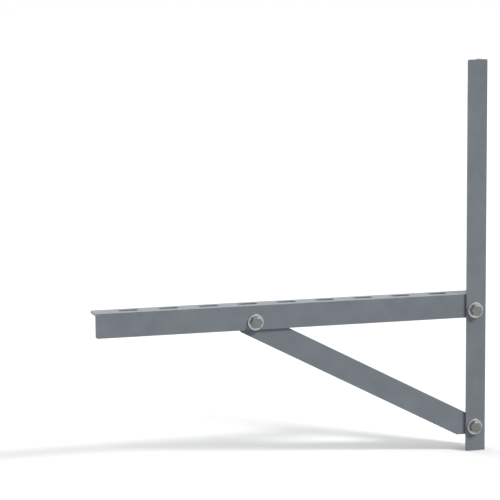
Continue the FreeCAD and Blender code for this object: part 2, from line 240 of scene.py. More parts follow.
def soft_edges(tree, mesh, crease):
    return step(tree, "GeometryNodeStoreNamedAttribute", {
        "Geometry": mesh, "Selection": edges_above(tree, crease),
        "Name": "bevel_weight_edge", "Value": 1.0}, data_type="FLOAT", domain="EDGE")[0]


def hard_edges(tree, mesh, crease):
    return step(tree, "GeometryNodeSetShadeSmooth", {
        "Geometry": mesh, "Selection": edges_above(tree, crease), "Shade Smooth": False},
        domain="EDGE")[0]


# %% [markdown]
# ## Run a tree
# A tree ends by making its copies real and laying the finish on them. Run as a modifier on a
# bench object, with the Bevel after it, it gives a plain mesh. Weighted Normal comes last: it
# lets the broad faces lead the shading, so that they stay flat right up to their round edges.
# Meshes that were cut come out with an empty material slot in front of their finish, and it is
# taken off. Then the mesh is moved to its place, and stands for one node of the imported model.

# %% Finish a tree, run it and put the piece in place
def finish_tree(tree, piece, inputs):
    """Shade a piece smooth, make it real and lay its finish."""
    smooth = step(tree, "GeometryNodeSetShadeSmooth", {
        "Geometry": piece, "Shade Smooth": True}, domain="FACE")[0]
    real = step(tree, "GeometryNodeRealizeInstances", {"Geometry": smooth})[0]
    laid = step(tree, "GeometryNodeSetMaterial", {
        "Geometry": real, "Material": inputs["Finish"]})[0]
    step(tree, "NodeGroupOutput", {"Piece": laid})
    print(f"{tree.name} tree: {len(tree.nodes)} nodes")


def run_tree(tree, seed, sizes, finish, rounding):
    """Run a tree on a seed mesh, round its soft edges, and hand back a plain mesh."""
    holder = bpy.data.objects.new("bench", seed)
    bpy.context.scene.collection.objects.link(holder)
    modifier = holder.modifiers.new("make", "NODES")
    modifier.node_group = tree
    keys = {item.name: item.identifier for item in tree.interface.items_tree}
    for name, value in sizes.items():
        modifier[keys[name]] = value
    modifier[keys["Finish"]] = finish
    bevel = holder.modifiers.new("round edges", "BEVEL")
    bevel.limit_method = "WEIGHT"
    bevel.width = rounding
    bevel.segments = 2
    bevel.use_clamp_overlap = True
    even = holder.modifiers.new("flat faces", "WEIGHTED_NORMAL")
    even.keep_sharp = True
    ready = holder.evaluated_get(bpy.context.evaluated_depsgraph_get())
    mesh = bpy.data.meshes.new_from_object(ready)
    if mesh.materials[0] is None:
        mesh.materials.pop(index=0)
    holder.modifiers.clear()
    bpy.data.objects.remove(holder)
    return mesh


def put(name, mesh, place, node):
    """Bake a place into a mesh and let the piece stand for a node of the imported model."""
    mesh.transform(place)
    mesh.name = name
    piece = bpy.data.objects.new(name, mesh)
    bpy.context.scene.collection.objects.link(piece)
    solid = bmesh.new()
    solid.from_mesh(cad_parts[node].data)
    surface = BVHTree.FromBMesh(solid)
    solid.free()
    strays = max(surface.find_nearest(vertex.co)[3] for vertex in mesh.vertices)
    print(f"{name}: {len(mesh.polygons)} faces, at most {strays / MM:.2f} mm from its solid")
    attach(piece, "root")
    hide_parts(node)


# %% [markdown]
# ## Shared surface effects
# Both the paint and the zinc are a little uneven: patches of tone, centimetres wide on the
# paint and millimetres wide on the zinc, and a fine skin texture. That unevenness is one
# shader group with its own sizes for each material. It reads the object's own coordinates, so
# the pattern stays put on the steel.

# %% A shader group for uneven surfaces
def uneven_surface():
    """A mask for broad patches, and a normal from a fine grain."""
    group = bpy.data.node_groups.new("uneven surface", "ShaderNodeTree")
    for name, value in (("Patch Scale", 20), ("Grain Scale", 900), ("Grain Depth", 0.1)):
        socket = group.interface.new_socket(
            name, in_out="INPUT", socket_type="NodeSocketFloat")
        socket.default_value = value
    for name, kind in (("Patches", "Float"), ("Normal", "Vector")):
        group.interface.new_socket(name, in_out="OUTPUT", socket_type=f"NodeSocket{kind}")
    sizes = group.nodes.new("NodeGroupInput").outputs
    place = step(group, "ShaderNodeTexCoord")["Object"]
    patches = step(group, "ShaderNodeTexNoise", {
        "Vector": place, "Scale": sizes["Patch Scale"], "Detail": 4, "Roughness": 0.55})[0]
    grain = step(group, "ShaderNodeTexNoise", {
        "Vector": place, "Scale": sizes["Grain Scale"], "Detail": 2, "Roughness": 0.5})[0]
    normal = step(group, "ShaderNodeBump", {
        "Height": grain, "Strength": sizes["Grain Depth"], "Distance": 0.2 * MM})[0]
    step(group, "NodeGroupOutput", {"Patches": patches, "Normal": normal})
    return group


UNEVEN = uneven_surface()
print("uneven surface:", len(UNEVEN.nodes), "nodes")

# %% [markdown]
# ## Thin and highlit edges
# Wet paint draws back from an edge and leaves it thin, and hands and spanners rub a plated
# edge bright. The lighter edge is also a painted highlight: the bright line that light draws
# along a rounded edge. Painting that by hand would take a mask for each piece. The Bevel node
# instead gives the normal of an imagined, rounder copy of the piece. Where it differs from the
# piece's own normal an edge is near, and some noise breaks the line up.

# %% A shader group for thin and highlit edges
def thin_and_highlit_edge():
    """A mask that is 1 on an edge, 0 a short reach away from it, and patchy between."""
    group = bpy.data.node_groups.new("thin and highlit edge", "ShaderNodeTree")
    for name, value in (("Reach", 0.8 * MM), ("Patch Scale", 220)):
        socket = group.interface.new_socket(
            name, in_out="INPUT", socket_type="NodeSocketFloat")
        socket.default_value = value
    group.interface.new_socket("Edge", in_out="OUTPUT", socket_type="NodeSocketFloat")
    sizes = group.nodes.new("NodeGroupInput").outputs
    rounder = step(group, "ShaderNodeBevel", {"Radius": sizes["Reach"]}, samples=6)[0]
    plain = step(group, "ShaderNodeNewGeometry")["Normal"]
    alike = step(group, "ShaderNodeVectorMath", {0: rounder, 1: plain},
                 operation="DOT_PRODUCT")["Value"]
    near = step(group, "ShaderNodeMapRange", {
        "Value": alike, "From Min": 1.0, "From Max": 0.86, "To Min": 0.0, "To Max": 1.0})[0]
    place = step(group, "ShaderNodeTexCoord")["Object"]
    noise = step(group, "ShaderNodeTexNoise", {
        "Vector": place, "Scale": sizes["Patch Scale"], "Detail": 3})[0]
    patchy = step(group, "ShaderNodeMapRange", {
        "Value": noise, "From Min": 0.4, "From Max": 0.6, "To Min": 0.35, "To Max": 1.0})[0]
    step(group, "NodeGroupOutput", {"Edge": reckon(group, "MULTIPLY", near, patchy)})
    return group


THIN_AND_HIGHLIT_EDGE = thin_and_highlit_edge()
print("thin and highlit edge:", len(THIN_AND_HIGHLIT_EDGE.nodes), "nodes")

# %% [markdown]
# ## Common parts of both finishes
# Paint and zinc start out alike: a Principled shader, the uneven surface on its normal, and a
# colour that drifts between a dark and a light tone. A lighter colour then shows along the
# edges, for a thinner skin there and as a painted highlight.

# %% Start a finish and drive its colours
def new_finish(name, patch_scale, grain_scale, grain_depth):
    """A material with an uneven surface on it, ready for its colours."""
    finish = bpy.data.materials.new(name)
    finish.use_nodes = True
    tree = finish.node_tree
    surface = tree.nodes["Principled BSDF"]
    uneven = step(tree, "ShaderNodeGroup", node_tree=UNEVEN)
    group = tree.nodes[-1]
    group.inputs["Patch Scale"].default_value = patch_scale
    group.inputs["Grain Scale"].default_value = grain_scale
    group.inputs["Grain Depth"].default_value = grain_depth
    tree.links.new(uneven["Normal"], surface.inputs["Normal"])
    return finish, tree, surface, uneven


def shade_between(tree, mask, low, high, dark, light):
    """A colour that follows a mask: dark below low, light above high."""
    ramp = tree.nodes.new("ShaderNodeValToRGB")
    ramp.color_ramp.elements[0].position = low
    ramp.color_ramp.elements[0].color = (*dark, 1)
    ramp.color_ramp.elements[1].position = high
    ramp.color_ramp.elements[1].color = (*light, 1)
    tree.links.new(mask, ramp.inputs["Fac"])
    return ramp.outputs["Color"]


def lay_edges(tree, colour, edge_colour, reach, patch_scale):
    """Let a lighter colour show along the edges: a thinner skin there, and a painted highlight."""
    thin = step(tree, "ShaderNodeGroup", node_tree=THIN_AND_HIGHLIT_EDGE)
    group = tree.nodes[-1]
    group.inputs["Reach"].default_value = reach
    group.inputs["Patch Scale"].default_value = patch_scale
    return step(tree, "ShaderNodeMixRGB", {
        "Fac": thin["Edge"], "Color1": colour, "Color2": (*edge_colour, 1)})["Color"]


def value_between(tree, mask, low, high):
    return step(tree, "ShaderNodeMapRange", {"Value": mask, "To Min": low, "To Max": high})[0]


# %% [markdown]
# ## Grey machine paint
# The bars are painted after they are punched, so the paint runs into every hole. It is a
# satin blue-grey, a touch uneven where it went on thicker, with a fine orange-peel skin. One
# flat grey would look like plastic: the small drift in tone and gloss makes it paint. Under
# it the rolls of the mill have left faint streaks along each bar. Those must follow the bar,
# also where it slopes, so they read the place on the bar that its tree has stored.

# %% Mix the paint
PAINT_DARK = (0.205, 0.232, 0.258)
PAINT_LIGHT = (0.250, 0.281, 0.308)
# The edge tone: paint that is thin there, and a painted highlight along each edge.
PAINT_THIN_AND_HIGHLIT = (0.34, 0.37, 0.39)
STREAKS_PER_MM = (0.7, 0.7, 0.012)
paint, tree, surface, uneven = new_finish(
    "satin grey paint", patch_scale=26, grain_scale=1000, grain_depth=0.4)
drift = shade_between(tree, uneven["Patches"], low=0.34, high=0.68,
                      dark=PAINT_DARK, light=PAINT_LIGHT)
# The edges turn lighter: the paint is thin there, and the lighter line is also a painted highlight.
thinned_and_highlit = lay_edges(tree, drift, PAINT_THIN_AND_HIGHLIT, reach=0.8 * MM, patch_scale=220)
tree.links.new(thinned_and_highlit, surface.inputs["Base Color"])
on_bar = step(tree, "ShaderNodeAttribute", attribute_name="on the bar")["Vector"]
stretched = step(tree, "ShaderNodeMapping", {"Vector": on_bar, "Scale": STREAKS_PER_MM})[0]
streaks = step(tree, "ShaderNodeTexNoise", {
    "Vector": stretched, "Scale": 1.0, "Detail": 3, "Roughness": 0.6})[0]
rolled = step(tree, "ShaderNodeBump", {
    "Height": streaks, "Strength": 0.25, "Distance": 0.3 * MM, "Normal": uneven["Normal"]})[0]
tree.links.new(rolled, surface.inputs["Normal"])
mixed = step(tree, "ShaderNodeMix", {"Factor": 0.4, "A": uneven["Patches"], "B": streaks})[0]
tree.links.new(value_between(tree, mixed, low=0.34, high=0.52), surface.inputs["Roughness"])
surface.inputs["Specular IOR Level"].default_value = 0.4
print("paint:", len(tree.nodes), "nodes")

# %% [markdown]
# ## Bright zinc plating
# The fasteners are zinc plated: a thin metal skin, brighter than the paint, with small dull
# and shiny patches and a fine grain left by the barrel that they were plated in. Metal has no
# colour of its own apart from what it mirrors, so its base colour only tints the reflection.
# The stamped washers are bright. The forged bolts and nuts are rougher, and their base colour is
# made a good deal darker: painted shade for the dimmer surroundings that their heads mirror.

# %% Mix the zinc
BRIGHT_DULL_SPOTS = (0.34, 0.355, 0.37)
BRIGHT_SHINY_SPOTS = (0.44, 0.455, 0.465)
# The forged spots are a good deal darker: painted shade for what the heads mirror.
SHADED_FORGED_DULL_SPOTS = (0.150, 0.157, 0.150)
SHADED_FORGED_SHINY_SPOTS = (0.215, 0.222, 0.212)
# Gain for the lighter edges: plating rubbed bright, and a painted highlight.
RUBBED_AND_HIGHLIT_GAIN = 1.35


def zinc_plating(name, dull, bright, rough, smooth, metallic):
    """Plated steel whose patches run from a dull, rough spot to a bright, smooth one."""
    finish, tree, surface, uneven = new_finish(
        name, patch_scale=520, grain_scale=2600, grain_depth=0.2)
    skin = shade_between(tree, uneven["Patches"], low=0.34, high=0.66, dark=dull, light=bright)
    # The edges turn lighter: plating rubbed bright, and a painted highlight as well.
    rubbed_and_highlit = [min(1, part * RUBBED_AND_HIGHLIT_GAIN) for part in bright]
    worn_and_highlit = lay_edges(tree, skin, rubbed_and_highlit, reach=0.35 * MM, patch_scale=900)
    tree.links.new(worn_and_highlit, surface.inputs["Base Color"])
    gloss = value_between(tree, uneven["Patches"], low=rough, high=smooth)
    tree.links.new(gloss, surface.inputs["Roughness"])
    surface.inputs["Metallic"].default_value = metallic
    print(f"{name}: {len(tree.nodes)} nodes")
    return finish


bright_zinc = zinc_plating("bright zinc", BRIGHT_DULL_SPOTS, BRIGHT_SHINY_SPOTS,
                           rough=0.42, smooth=0.26, metallic=1)
# The bolts and nuts take a darker zinc: a rougher forged skin, and painted shade for the dim
# surroundings their heads mirror.
shaded_dull_zinc = zinc_plating("dull zinc with painted shade", SHADED_FORGED_DULL_SPOTS, SHADED_FORGED_SHINY_SPOTS,
                         rough=0.50, smooth=0.34, metallic=0.85)

# %% [markdown]
# ## Rolled steel angle
# A bar of angle is one L-shaped outline pushed along its length. Rolling leaves a fillet in
# the root and rounded inner edges on the toes. The tree rounds those corners of a plain L by a
# radius that is stored on each of them, and leaves the heel to the bevel, for it is sharp but
# never razor sharp. It pushes the outline along, and then punches a row of holes or slots
# through the flange, as the press in the workshop does. Whatever is cut only once, such as an
# end or a bolt hole, comes off last, with a second mesh of cutters. The ends of a slot are
# rounded by a hair less than half its width, or two points would fall on one spot.

# %% Tree for a punched bar
NEARLY_HALF = 0.4999
PLATES_PER_STROKE = 3

tree, inputs = start_tree("punched angle", {
    "Length": 500.0, "Plate": 3.0, "Punch Count": 3, "First Punch": 40.0, "Punch Pitch": 50.0,
    "Punch Length": 25.0, "Punch Width": 11.0, "Punch Line": 17.0, "Cutters": "object"})
wire = step(tree, "GeometryNodeMeshToCurve", {"Mesh": inputs["Outline"]})[0]
radius = step(tree, "GeometryNodeInputNamedAttribute", {"Name": "corner"})[0]
rounded = step(tree, "GeometryNodeFilletCurve", {
    "Curve": wire, "Count": 5, "Radius": radius, "Limit Radius": True}, mode="POLY")[0]
section = step(tree, "GeometryNodeFillCurve", {"Curve": rounded}, mode="NGONS")[0]
bar = solid_from(tree, section, inputs["Length"])

slot_outline = step(tree, "GeometryNodeCurvePrimitiveQuadrilateral", {
    "Width": inputs["Punch Width"], "Height": inputs["Punch Length"]}, mode="RECTANGLE")[0]
half_width = reckon(tree, "MULTIPLY", inputs["Punch Width"], NEARLY_HALF)
slot_rounded = step(tree, "GeometryNodeFilletCurve", {
    "Curve": slot_outline, "Count": 12, "Radius": half_width}, mode="POLY")[0]
slot_face = step(tree, "GeometryNodeFillCurve", {"Curve": slot_rounded}, mode="NGONS")[0]
stroke = reckon(tree, "MULTIPLY", inputs["Plate"], PLATES_PER_STROKE)
punch = solid_from(tree, slot_face, stroke)
lie_down = (math.pi / 2, 0, math.pi / 2)
punch = step(tree, "GeometryNodeTransform", {"Geometry": punch, "Rotation": lie_down})[0]
start_point = point(tree, reckon(tree, "MULTIPLY", inputs["Plate"], -1),
                    inputs["Punch Line"], inputs["First Punch"])
line = step(tree, "GeometryNodeMeshLine", {
    "Count": inputs["Punch Count"], "Start Location": start_point,
    "Offset": point(tree, 0.0, 0.0, inputs["Punch Pitch"])})[0]
row = step(tree, "GeometryNodeInstanceOnPoints", {"Points": line, "Instance": punch})[0]
punches = step(tree, "GeometryNodeRealizeInstances", {"Geometry": row})[0]
once = step(tree, "GeometryNodeObjectInfo", {"Object": inputs["Cutters"]})["Geometry"]
punched = cut(tree, bar, [punches, once])
steel_point = step(tree, "GeometryNodeInputPosition")[0]
marked = step(tree, "GeometryNodeStoreNamedAttribute", {
    "Geometry": soft_edges(tree, punched, crease=32), "Name": "on the bar", "Value": steel_point},
    data_type="FLOAT_VECTOR", domain="POINT")[0]
finish_tree(tree, marked, inputs)
punched_angle = tree

# %% [markdown]
# ## The outline of the angle
# The tree starts from a plain L of six corners. They could be nodes as well, but a short
# function that writes them down is easier to read. It stores a radius with each corner: one
# for the fillet in the root, one for the two toes, and none for the three outer corners.

# %% Outline of the angle
FLANGE = 30.0
PLATE = 3.0
ROOT = 1.8
TOE = 1.4


def angle_outline(web):
    """The six corners of an L in mm, each with the radius that its corner is rounded by."""
    corners = ((0, 0, 0), (web, 0, 0), (web, PLATE, TOE),
               (PLATE, PLATE, ROOT), (PLATE, FLANGE, TOE), (0, FLANGE, 0))
    mesh = bpy.data.meshes.new("outline")
    loop = [(index, (index + 1) % len(corners)) for index in range(len(corners))]
    mesh.from_pydata([(x, y, 0) for x, y, _ in corners], loop, [])
    stored = mesh.attributes.new("corner", "FLOAT", "POINT")
    stored.data.foreach_set("value", [radius for _, _, radius in corners])
    return mesh


# %% [markdown]
# ## Cutters for the ends
# The shear leaves square ends whose corners are ground round, and the press punches a bolt
# hole here and there. These cuts follow no row, so short Python functions draw each cutter
# flat and push it through one leg, or through the whole bar.

# %% Draw the cutters
CORNER = 2.6
BEYOND = 1
BOLT_HOLE = 9
ONE_LEG = (-6, 9)
FAR = 60
ARC_PARTS = 8
HOLE_SIDES = 40


def prism(cutters, outline, through):
    """Push a flat outline through the web, the flange or both. Points are across and along."""
    depths = (-FAR, FAR) if through == "both" else ONE_LEG
    rings = []
    for depth in depths:
        if through == "flange":
            rings.append([cutters.verts.new((depth, y, z)) for y, z in outline])
        else:
            rings.append([cutters.verts.new((x, depth, z)) for x, z in outline])
    for ring in rings:
        cutters.faces.new(ring)
    for index in range(len(outline)):
        after = (index + 1) % len(outline)
        cutters.faces.new((rings[0][index], rings[0][after], rings[1][after], rings[1][index]))


def corner_outline(edge, end, inward):
    """The sliver between a square corner and its rounding; inward is 1 or -1 along the bar."""
    arc = []
    for part in range(ARC_PARTS + 1):
        angle = math.pi / 2 * part / ARC_PARTS
        arc.append((edge - CORNER + CORNER * math.sin(angle),
                    end + inward * (CORNER - CORNER * math.cos(angle))))
    outside = end - inward * BEYOND
    return [*arc, (edge + BEYOND, end + inward * CORNER), (edge + BEYOND, outside),
            (edge - CORNER, outside)]


def hole_outline(across, along, diameter):
    turns = [2 * math.pi * part / HOLE_SIDES for part in range(HOLE_SIDES)]
    return [(across + diameter / 2 * math.cos(turn), along + diameter / 2 * math.sin(turn))
            for turn in turns]


def cutter_object(cuts):
    """Collect cuts, each an outline and the leg that it goes through, in one object."""
    cutters = bmesh.new()
    for outline, through in cuts:
        prism(cutters, outline, through)
    bmesh.ops.recalc_face_normals(cutters, faces=cutters.faces)
    mesh = bpy.data.meshes.new("cutters")
    cutters.to_mesh(mesh)
    cutters.free()
    holder = bpy.data.objects.new("cutters", mesh)
    bpy.context.scene.collection.objects.link(holder)
    return holder


# %% [markdown]
# ## From stock to finished bar
# Each bar is drawn at the origin, with its web along X, its flange along Y and its length
# along Z. Three directions then say where those point on the bracket, and a place says where
# the heel of its first end lies. The edges are rounded by a small part of a millimetre,
# because a sheared edge stays crisp under its paint.

# %% Make a bar
ROUNDING = 0.18


def directions(along_web, along_flange, along_bar):
    """A turn from three directions: where the bar's web, flange and length point."""
    return Matrix((along_web, along_flange, along_bar)).transposed()


def make_bar(node, web, length, row, cuts, place):
    """One bar from outline to finished piece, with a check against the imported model."""
    cutters = cutter_object(cuts)
    sizes = {"Length": length, "Plate": PLATE, "Cutters": cutters, **row}
    mesh = run_tree(punched_angle, angle_outline(web), sizes, paint, ROUNDING)
    bpy.data.objects.remove(cutters)
    put(f"painted_{node}", mesh, Matrix.Scale(MM, 4) @ place, node)


# %% [markdown]
# ## The wall post
# The post is drawn from its top end down. Its wall leg has three anchor holes above the arm,
# and one at the foot. Its narrower leg, the web, takes the two bolts. A slot as long as it is
# wide is a round hole, so the same punch makes the row of three.

# %% Make the wall post
ANCHOR_HOLE = 13.0
ANCHOR_LINE = 17.0
ANCHOR_MARGIN = 37.0
ANCHOR_RISE = 48.0
ANCHOR_FOOT = 14.0
ANCHOR_COUNT = 3


def box_of(node):
    """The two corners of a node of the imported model, in millimetres."""
    return [Vector(corner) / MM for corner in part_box(node)]


def bolt_centre(joint):
    low, high = box_of(f"{joint}_bolt")
    return (low + high) / 2


post_low, post_high = box_of("wall_post")
arm_low, arm_high = box_of("support_arm")
post_length = post_high.z - post_low.z
post_web = post_high.y - post_low.y
knee = bolt_centre("arm_to_post")
foot = bolt_centre("brace_to_post")
post_cuts = [(corner_outline(width, end, inward), leg)
             for width, leg in ((post_web, "web"), (FLANGE, "flange"))
             for end, inward in ((0, 1), (post_length, -1))]
post_cuts += [(hole_outline(post_high.y - bolt.y, post_high.z - bolt.z, BOLT_HOLE), "web")
              for bolt in (knee, foot)]
lowest_anchor = hole_outline(ANCHOR_LINE, post_length - ANCHOR_FOOT, ANCHOR_HOLE)
post_cuts.append((lowest_anchor, "flange"))
anchor_stretch = post_high.z - ANCHOR_MARGIN - (arm_high.z + ANCHOR_RISE)
anchor_row = {"Punch Count": ANCHOR_COUNT, "First Punch": ANCHOR_MARGIN,
              "Punch Pitch": anchor_stretch / (ANCHOR_COUNT - 1),
              "Punch Length": ANCHOR_HOLE, "Punch Width": ANCHOR_HOLE,
              "Punch Line": ANCHOR_LINE}
hang = directions((0, -1, 0), (-1, 0, 0), (0, 0, -1)).to_4x4()
make_bar("wall_post", post_web, post_length, anchor_row, post_cuts,
         Matrix.Translation(post_high) @ hang)

# %% [markdown]
# ## The support arm
# The arm runs from its tip to the wall, with its flange on top. Nine slots let units of
# different depth be bolted down.

# %% Make the support arm
SLOT_LENGTH = 25.0
SLOT_WIDTH = 11.0
SLOT_LINE = 17.0
SLOT_MARGIN = 44.0
SLOT_INSET = 58.0
SLOT_COUNT = 9

arm_length = arm_high.y - arm_low.y
elbow = bolt_centre("arm_to_brace")
arm_cuts = [(corner_outline(FLANGE, end, inward), leg)
            for leg in ("web", "flange") for end, inward in ((0, 1), (arm_length, -1))]
arm_cuts += [(hole_outline(arm_high.z - bolt.z, bolt.y - arm_low.y, BOLT_HOLE), "web")
             for bolt in (elbow, knee)]
slot_stretch = post_high.y - SLOT_INSET - (arm_low.y + SLOT_MARGIN)
slot_row = {"Punch Count": SLOT_COUNT, "First Punch": SLOT_MARGIN,
            "Punch Pitch": slot_stretch / (SLOT_COUNT - 1),
            "Punch Length": SLOT_LENGTH, "Punch Width": SLOT_WIDTH, "Punch Line": SLOT_LINE}
level = directions((0, 0, -1), (-1, 0, 0), (0, 1, 0)).to_4x4()
tip = Vector((arm_high.x, arm_low.y, arm_high.z))
make_bar("support_arm", FLANGE, arm_length, slot_row, arm_cuts,
         Matrix.Translation(tip) @ level)
print("pitch of the anchor holes", round(anchor_row["Punch Pitch"], 2),
      "and of the slots", round(slot_row["Punch Pitch"], 2))

# %% [markdown]
# ## The diagonal brace
# The brace slopes from the arm down to the foot of the post, and the two bolts give its slope.
# It also leans by about half a degree, because it lies behind the arm at one end and behind
# the post, one plate further out, at the other. Its top corner is clipped level under the
# seat, and its foot is cut level and plumb. Those cuts are drawn in a frame of their own: one
# direction down, the other to the wall.

# %% Work out the slope and the cuts of the brace
BRACE_GAUGE = 11.2
BRACE_END = 12
FOOT_MARGIN = 9.5
CLEARANCE = 0.5
SPARE = 30

run, drop = foot.y - elbow.y, elbow.z - foot.z
slope, span = math.atan2(drop, run), math.hypot(run, drop)
clear_of_root = PLATE + ROOT + CLEARANCE
below_seat = arm_high.z - elbow.z
ceiling = clear_of_root - below_seat
wall_side = post_high.y - foot.y - clear_of_root


def level_outline(along, outline):
    """Turn points given down and to the wall from a bolt into across and along the brace."""
    return [(BRACE_GAUGE + down * math.cos(slope) - wall * math.sin(slope),
             along + down * math.sin(slope) + wall * math.cos(slope))
            for down, wall in outline]


under_seat = [(-FAR, -FAR), (ceiling, -FAR), (ceiling, FAR), (-FAR, FAR)]
foot_cut = [(FOOT_MARGIN, -FAR), (FAR, -FAR), (FAR, FAR), (-FAR, FAR),
            (-FAR, wall_side), (FOOT_MARGIN, wall_side)]
bolts = (BRACE_END, BRACE_END + span)
brace_cuts = [(corner_outline(FLANGE, 0, 1), "web"),
              (level_outline(bolts[0], under_seat), "both"),
              (level_outline(bolts[1], foot_cut), "both")]
brace_cuts += [(hole_outline(BRACE_GAUGE, along, BOLT_HOLE), "web") for along in bolts]
print("slope in degrees", round(math.degrees(slope), 2), "bolts apart in mm", round(span, 1))

# %% [markdown]
# ## Lean the brace against both webs
# The flat back of the brace can't touch both webs along their faces, because they lie one
# plate apart. It touches the lower edge of the arm where it leaves it, and the post where its
# foot ends. The plate's thickness over the distance between those two lines gives the lean.

# %% Make the diagonal brace
leaves_arm = (FLANGE - below_seat + BRACE_GAUGE * math.cos(slope)) / math.sin(slope)
foot_tip = span + wall_side * math.cos(slope) + FOOT_MARGIN * math.sin(slope)
lean = math.atan(PLATE / (foot_tip - leaves_arm))
aimed = Matrix.Rotation(-slope, 4, "X") @ level @ Matrix.Rotation(lean, 4, "X")
on_brace = Vector((BRACE_GAUGE, 0, BRACE_END + leaves_arm))
on_arm = Vector((arm_high.x - PLATE, elbow.y + leaves_arm * math.cos(slope),
                 elbow.z - leaves_arm * math.sin(slope)))
make_bar("diagonal_brace", FLANGE, BRACE_END + span + SPARE, {"Punch Count": 0}, brace_cuts,
         Matrix.Translation(on_arm) @ aimed @ Matrix.Translation(-on_brace))
print("lean in degrees", round(math.degrees(lean), 2))

# %% [markdown]
# ## Shapes that the fasteners share
# A bolt head and a nut are hexagons whose corners are turned off on a lathe, at thirty
# degrees. Here the lathe is a blunt cone: what lies inside both the hexagon and the cone
# stays, and that leaves the curved edges that a real head has.

# %% Helpers for hexagons and rings
RIM_SHARE = 0.475
TURNING_ANGLE = math.radians(30)
OVERSHOOT = 2.0
RIM_SIDES = 72
SHANK_SIDES = 48


def column(tree, sides, radius, height, start=0.0):
    """A solid column with its foot at a height along the axis."""
    made = step(tree, "GeometryNodeMeshCylinder", {
        "Vertices": sides, "Radius": radius, "Depth": height})["Mesh"]
    middle = reckon(tree, "ADD", reckon(tree, "MULTIPLY", height, 0.5), start)
    return step(tree, "GeometryNodeTransform", {
        "Geometry": made, "Translation": point(tree, 0.0, 0.0, middle)})[0]


def hexagon(tree, flats, height, start=0.0):
    """A block with six sides, two of them facing along X."""
    corner = reckon(tree, "MULTIPLY", flats, 1 / math.sqrt(3))
    block = column(tree, 6, corner, height, start)
    return step(tree, "GeometryNodeTransform", {
        "Geometry": block, "Rotation": (0, 0, math.pi / 6)})[0]


def turn_end(tree, solid, flats, height, upward=True):
    """Turn the corners off an end, down to a rim that is a little narrower than the flats."""
    rim = reckon(tree, "MULTIPLY", flats, RIM_SHARE)
    reach = reckon(tree, "ADD", height, OVERSHOOT)
    spread = reckon(tree, "MULTIPLY", reach, 1 / math.tan(TURNING_ANGLE))
    cone = step(tree, "GeometryNodeMeshCone", {
        "Vertices": RIM_SIDES, "Radius Top": rim, "Radius Bottom": reckon(tree, "ADD", rim, spread),
        "Depth": reach})["Mesh"]
    if upward:
        cone = step(tree, "GeometryNodeTransform", {
            "Geometry": cone, "Translation": (0, 0, -OVERSHOOT)})[0]
    else:
        cone = step(tree, "GeometryNodeTransform", {
            "Geometry": cone, "Rotation": (math.pi, 0, 0),
            "Translation": point(tree, 0.0, 0.0, reach)})[0]
    return cut(tree, solid, [cone], "INTERSECT")


def joined(tree, *pieces):
    return step(tree, "GeometryNodeJoinGeometry", {"Geometry": list(pieces)})[0]


def sweep(tree, path, section, scale=1.0, caps=False):
    """Push a flat section along a path, with the section's X pointing away from the axis."""
    upright = step(tree, "GeometryNodeSetCurveNormal", {"Curve": path}, mode="Z_UP")[0]
    return step(tree, "GeometryNodeCurveToMesh", {
        "Curve": upright, "Profile Curve": section, "Scale": scale, "Fill Caps": caps})[0]


def ring_section(tree, width, height, rounding):
    flat = step(tree, "GeometryNodeCurvePrimitiveQuadrilateral", {
        "Width": width, "Height": height}, mode="RECTANGLE")[0]
    return step(tree, "GeometryNodeFilletCurve", {
        "Curve": flat, "Count": 3, "Radius": rounding}, mode="POLY")[0]


# %% [markdown]
# ## Bolts
# A forged head is turned on its outer end only. Under it a thin round face, a little narrower
# than the hexagon, keeps the corners off the washer. The two solids overlap slightly, so that
# no seam is left between them.

# %% Head of a bolt
FACE_SHARE = 0.46
FACE_OVERLAP = 1.2


def bolt_head(tree, inputs):
    """A turned hexagon on its round face, standing on the washer."""
    block_height = reckon(tree, "SUBTRACT", inputs["Head Height"], inputs["Face Height"])
    head = hexagon(tree, inputs["Flats"], block_height, inputs["Face Height"])
    head = turn_end(tree, head, inputs["Flats"], inputs["Head Height"])
    face = column(tree, RIM_SIDES, reckon(tree, "MULTIPLY", inputs["Flats"], FACE_SHARE),
                  reckon(tree, "MULTIPLY", inputs["Face Height"], FACE_OVERLAP))
    return joined(tree, head, face)


# %% [markdown]
# ## Threads
# A thread is a ridge that climbs its pitch in one turn, so a spiral carries a section round a
# plain core. The section is a triangle whose sides are as long as the pitch, with its base
# sunk into the core. The ridge fades at both ends, where a real thread starts and runs out.

# %% Thread of a bolt, and its tree
DEPTH_SHARE = 0.6
FADE_TURNS = 0.5
FADE_START = 0.35


